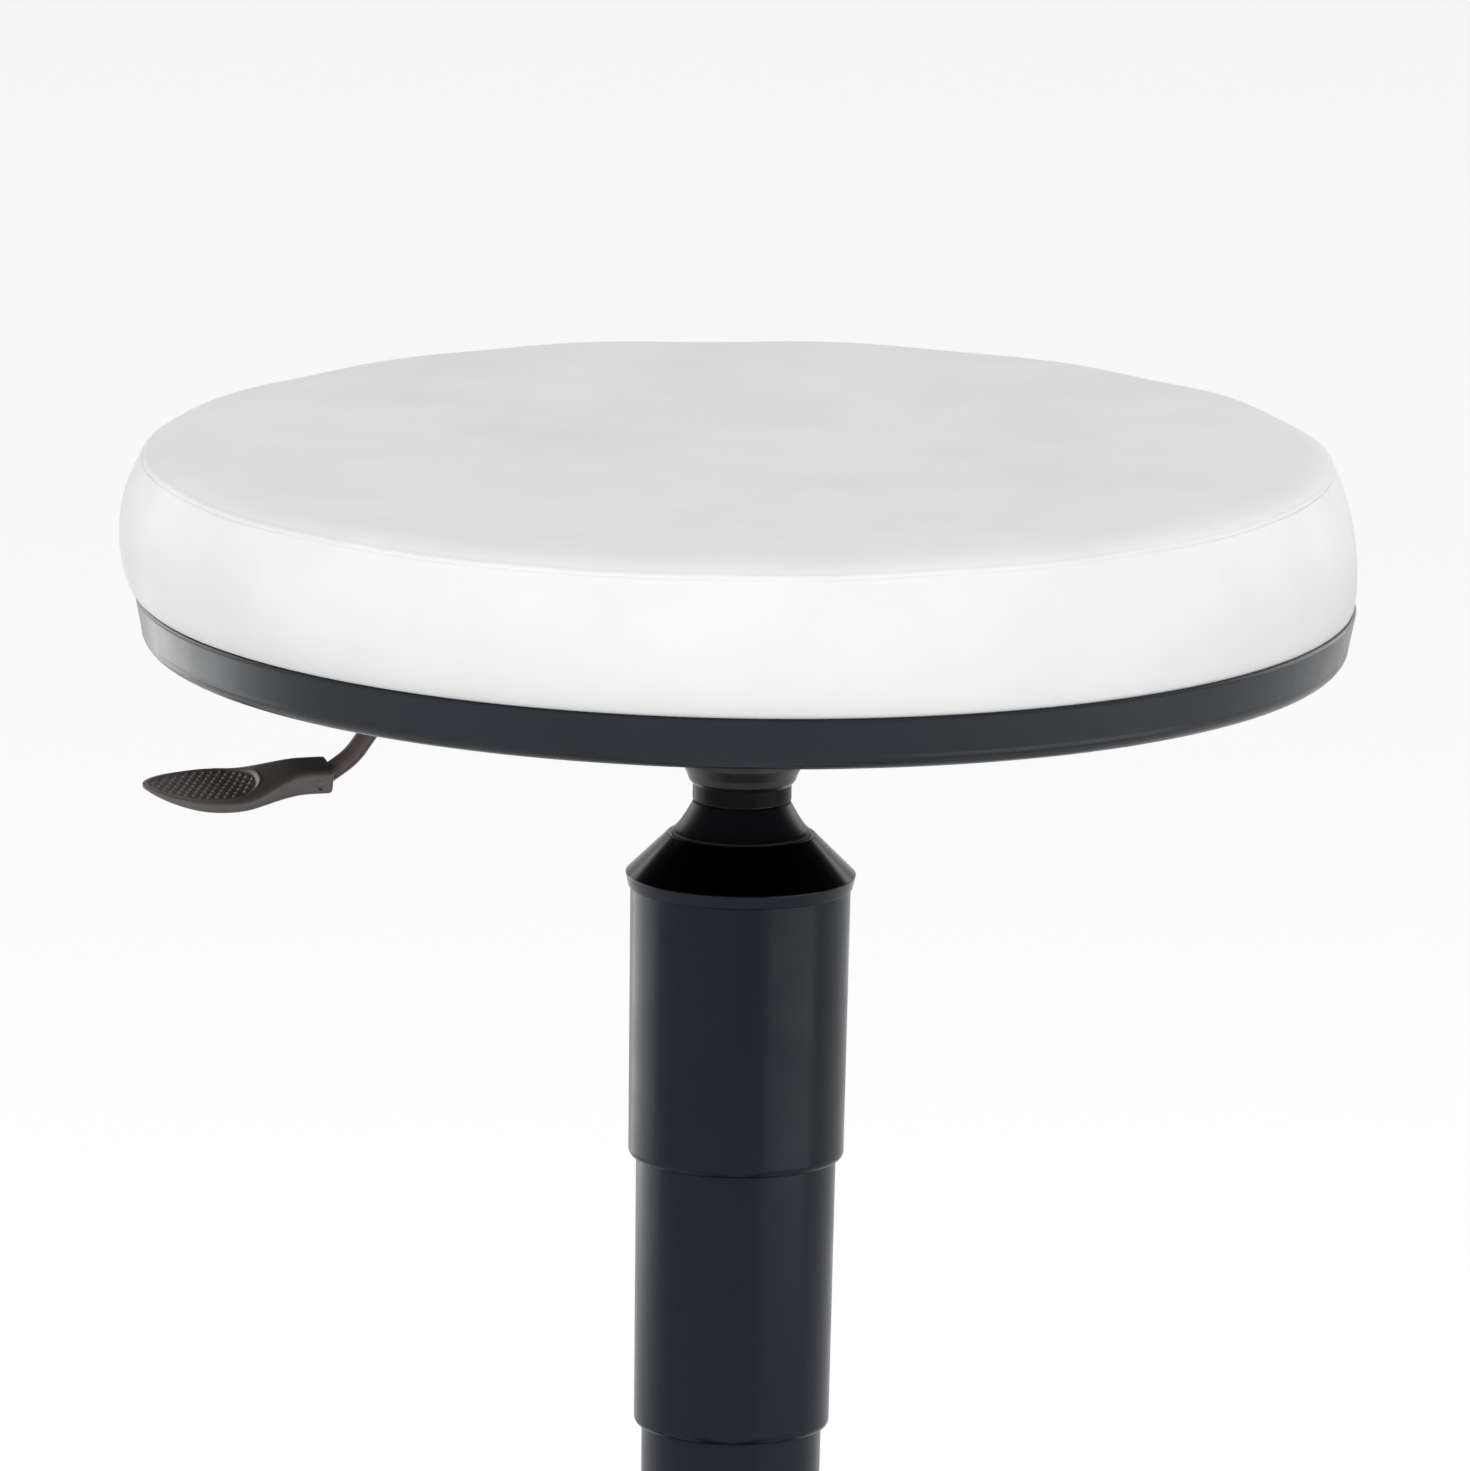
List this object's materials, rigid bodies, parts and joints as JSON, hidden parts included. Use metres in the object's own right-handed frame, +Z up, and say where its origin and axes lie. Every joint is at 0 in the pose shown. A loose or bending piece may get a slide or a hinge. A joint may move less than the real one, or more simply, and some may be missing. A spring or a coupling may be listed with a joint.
{
  "type": "laboratory stool",
  "caption": "Round white upholstered laboratory stool with a dark pan, a release paddle, a telescopic column cover over a gas lift, and an arm base on twin-wheel castors.",
  "frame": {"origin": "on the floor, on the axis of the column", "axes": "+Z up along the column; -Y is the side seen in the picture, and the lever points to -X"},
  "size_m": [0.6018, 0.5721, 0.5311],
  "materials": {
    "white_cover": "fine-grained coated cloth, matt",
    "foam": "soft moulded foam",
    "plywood": "raw plywood",
    "zinc_steel": "zinc plated",
    "chrome_rod": "polished",
    "dark_plastic": "smooth satin",
    "gloss_black": "smooth satin",
    "black_paint": "powder coat",
    "brown_paint": "powder coat",
    "paddle_plastic": "matt with a dotted grip",
    "black_nylon": "fine texture",
    "white_plastic": "smooth",
    "rubber": "matt"
  },
  "bodies": {
    "base": {"stand_tube": "black_paint", "guide_bush": "white_plastic", "lower_race": "zinc_steel", "bearing_balls": "zinc_steel", "star_base": "black_nylon", "hub_sleeve": "zinc_steel", "castor_sockets": "zinc_steel", "castor_stems": "zinc_steel", "cover_tube_bottom": "dark_plastic"},
    "piston_rod": {"piston_rod": "chrome_rod", "piston": "zinc_steel", "upper_race": "zinc_steel", "rod_clip": "zinc_steel", "rubber_buffer": "rubber"},
    "seat": {"top_panel": "white_cover", "side_band": "white_cover", "foam_pad": "foam", "seat_board": "plywood", "tee_nuts": "zinc_steel", "seat_pan": "dark_plastic", "pan_screws": "zinc_steel", "mount_plate": "black_paint", "plate_bolts": "zinc_steel", "lever_channel": "black_paint", "taper_hub": "black_paint", "pivot_pin": "zinc_steel", "lift_cylinder": "black_paint", "cylinder_end_guide": "zinc_steel", "cover_cap": "gloss_black", "cap_collar": "gloss_black", "cover_tube_top": "dark_plastic"},
    "lever": {"lever_rod": "brown_paint", "pivot_block": "brown_paint", "lever_paddle": "paddle_plastic", "paddle_screw": "zinc_steel"},
    "release_pin": {"release_pin": "zinc_steel"},
    "cover_middle": {"cover_tube_middle": "dark_plastic"},
    "castor_1": {"castor_1_housing": "black_nylon", "castor_1_axle": "zinc_steel"},
    "castor_1_left": {"castor_1_wheel_left": "black_nylon"},
    "castor_1_right": {"castor_1_wheel_right": "black_nylon"},
    "castor_2": {"castor_2_housing": "black_nylon", "castor_2_axle": "zinc_steel"},
    "castor_2_left": {"castor_2_wheel_left": "black_nylon"},
    "castor_2_right": {"castor_2_wheel_right": "black_nylon"},
    "castor_3": {"castor_3_housing": "black_nylon", "castor_3_axle": "zinc_steel"},
    "castor_3_left": {"castor_3_wheel_left": "black_nylon"},
    "castor_3_right": {"castor_3_wheel_right": "black_nylon"},
    "castor_4": {"castor_4_housing": "black_nylon", "castor_4_axle": "zinc_steel"},
    "castor_4_left": {"castor_4_wheel_left": "black_nylon"},
    "castor_4_right": {"castor_4_wheel_right": "black_nylon"},
    "castor_5": {"castor_5_housing": "black_nylon", "castor_5_axle": "zinc_steel"},
    "castor_5_left": {"castor_5_wheel_left": "black_nylon"},
    "castor_5_right": {"castor_5_wheel_right": "black_nylon"}
  },
  "joints": [
    {"name": "seat_swivel", "type": "hinge", "parent": "base", "child": "piston_rod", "pos_m": [0, 0, 0.135], "axis": [0, 0, 1], "continuous": true},
    {"name": "seat_height", "type": "slide", "parent": "piston_rod", "child": "seat", "axis": [0, 0, 1], "range_m": [-0.13, 0]},
    {"name": "cover_slide", "type": "slide", "parent": "base", "child": "cover_middle", "axis": [0, 0, 1], "range_m": [-0.065, 0]},
    {"name": "lever_lift", "type": "hinge", "parent": "seat", "child": "lever", "pos_m": [-0.03091, -0.00828, 0.45228], "axis": [-0.2588, 0.9659, 0], "range_deg": [0, 5], "stiffness_Nm_per_rad": 4, "springref_deg": -4.58},
    {"name": "pin_press", "type": "slide", "parent": "seat", "child": "release_pin", "axis": [0, 0, -1], "range_m": [0, 0.0032]},
    {"name": "castor_1_swivel", "type": "hinge", "parent": "base", "child": "castor_1", "pos_m": [0, 0.28, 0.064], "axis": [0, 0, 1], "continuous": true},
    {"name": "castor_1_left_spin", "type": "hinge", "parent": "castor_1", "child": "castor_1_left", "pos_m": [-0.01631, 0.27239, 0.025], "axis": [0.4226, -0.9063, 0], "continuous": true},
    {"name": "castor_1_right_spin", "type": "hinge", "parent": "castor_1", "child": "castor_1_right", "pos_m": [-0.01631, 0.27239, 0.025], "axis": [0.4226, -0.9063, 0], "continuous": true},
    {"name": "castor_2_swivel", "type": "hinge", "parent": "base", "child": "castor_2", "pos_m": [-0.2663, 0.08653, 0.064], "axis": [0, 0, 1], "continuous": true},
    {"name": "castor_2_left_spin", "type": "hinge", "parent": "castor_2", "child": "castor_2_left", "pos_m": [-0.28261, 0.07892, 0.025], "axis": [0.4226, -0.9063, 0], "continuous": true},
    {"name": "castor_2_right_spin", "type": "hinge", "parent": "castor_2", "child": "castor_2_right", "pos_m": [-0.28261, 0.07892, 0.025], "axis": [0.4226, -0.9063, 0], "continuous": true},
    {"name": "castor_3_swivel", "type": "hinge", "parent": "base", "child": "castor_3", "pos_m": [-0.16458, -0.22653, 0.064], "axis": [0, 0, 1], "continuous": true},
    {"name": "castor_3_left_spin", "type": "hinge", "parent": "castor_3", "child": "castor_3_left", "pos_m": [-0.18089, -0.23413, 0.025], "axis": [0.4226, -0.9063, 0], "continuous": true},
    {"name": "castor_3_right_spin", "type": "hinge", "parent": "castor_3", "child": "castor_3_right", "pos_m": [-0.18089, -0.23413, 0.025], "axis": [0.4226, -0.9063, 0], "continuous": true},
    {"name": "castor_4_swivel", "type": "hinge", "parent": "base", "child": "castor_4", "pos_m": [0.16458, -0.22653, 0.064], "axis": [0, 0, 1], "continuous": true},
    {"name": "castor_4_left_spin", "type": "hinge", "parent": "castor_4", "child": "castor_4_left", "pos_m": [0.14827, -0.23413, 0.025], "axis": [0.4226, -0.9063, 0], "continuous": true},
    {"name": "castor_4_right_spin", "type": "hinge", "parent": "castor_4", "child": "castor_4_right", "pos_m": [0.14827, -0.23413, 0.025], "axis": [0.4226, -0.9063, 0], "continuous": true},
    {"name": "castor_5_swivel", "type": "hinge", "parent": "base", "child": "castor_5", "pos_m": [0.2663, 0.08653, 0.064], "axis": [0, 0, 1], "continuous": true},
    {"name": "castor_5_left_spin", "type": "hinge", "parent": "castor_5", "child": "castor_5_left", "pos_m": [0.24998, 0.07892, 0.025], "axis": [0.4226, -0.9063, 0], "continuous": true},
    {"name": "castor_5_right_spin", "type": "hinge", "parent": "castor_5", "child": "castor_5_right", "pos_m": [0.24998, 0.07892, 0.025], "axis": [0.4226, -0.9063, 0], "continuous": true}
  ],
  "couplings": [
    {"joint": "cover_slide", "follows": "seat_height", "ratio": 0.5},
    {"joint": "pin_press", "follows": "lever_lift", "m_per_rad": 0.034}
  ]
}
